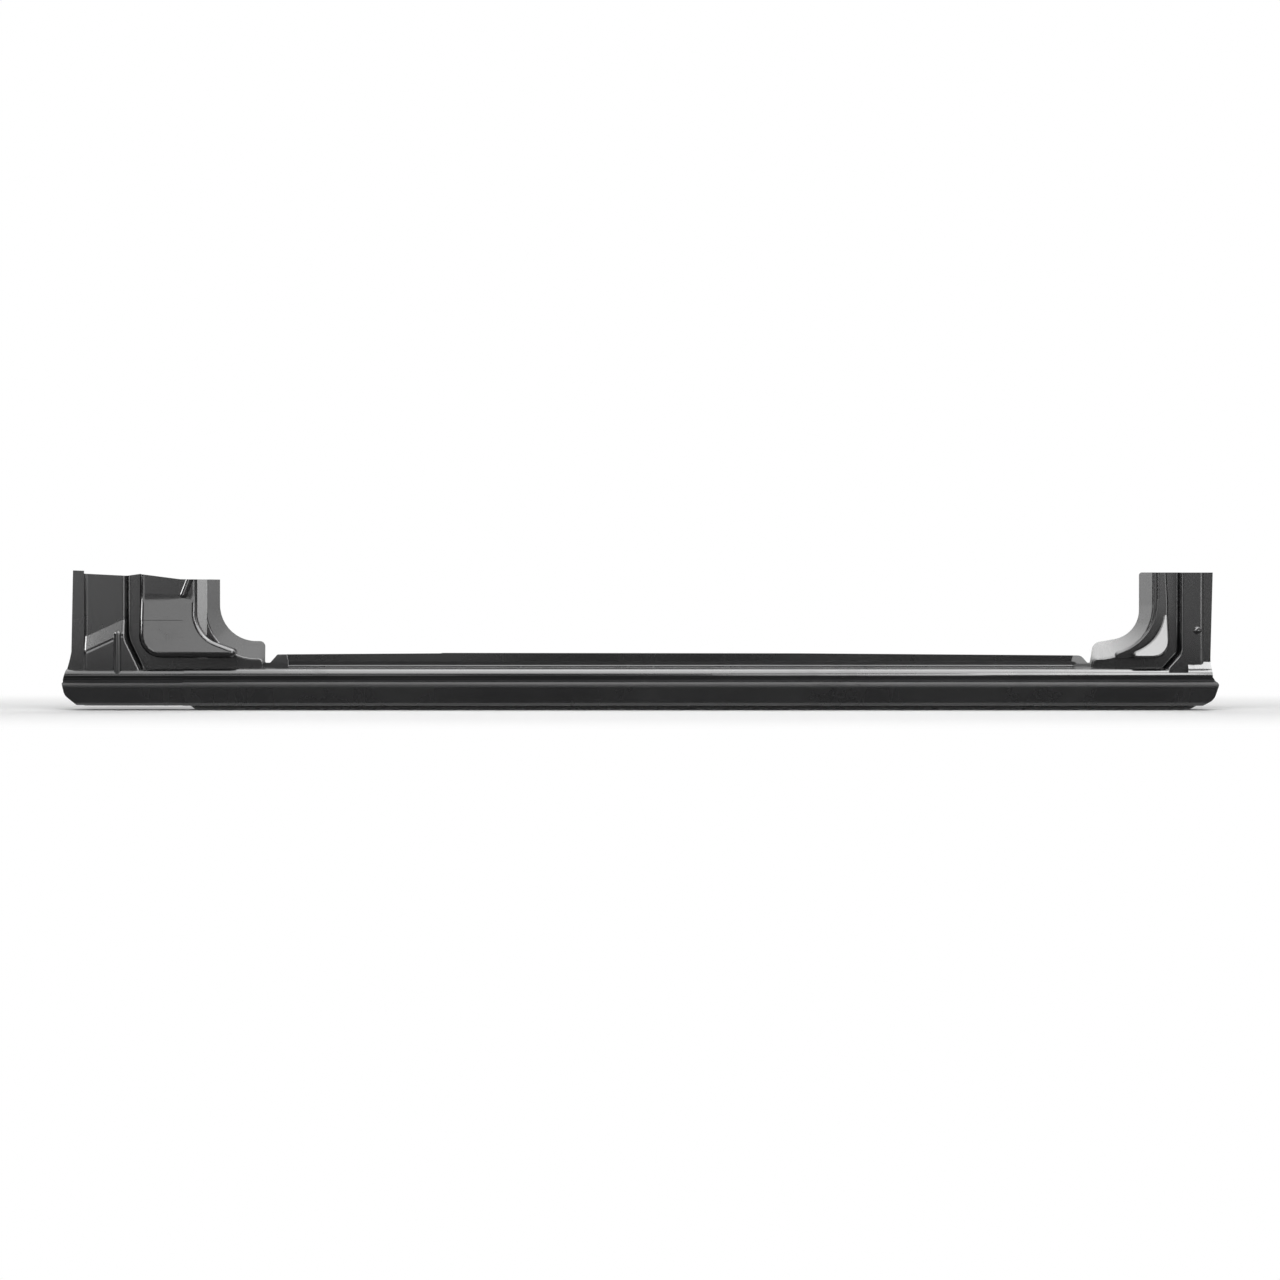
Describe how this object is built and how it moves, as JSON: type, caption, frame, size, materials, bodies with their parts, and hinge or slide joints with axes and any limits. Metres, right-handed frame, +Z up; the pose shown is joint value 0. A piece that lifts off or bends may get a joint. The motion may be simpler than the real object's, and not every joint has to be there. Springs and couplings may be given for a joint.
{
  "type": "rocker panel",
  "caption": "Pressed steel sill panel of a van's sliding door: a stepped sill with weld flanges, and a raised pillar foot at each end of the door opening.",
  "frame": {"origin": "on the back face of the lower weld flange, at half the flange's height and half the panel's length", "axes": "+X towards the front of the vehicle, +Y into the vehicle, out of the flange's back face, +Z up"},
  "size_m": [1.6222, 0.0756, 0.196],
  "materials": {
    "black_ecoat": "gloss"
  },
  "bodies": {
    "root": {"rocker_panel": "black_ecoat"}
  },
  "joints": []
}
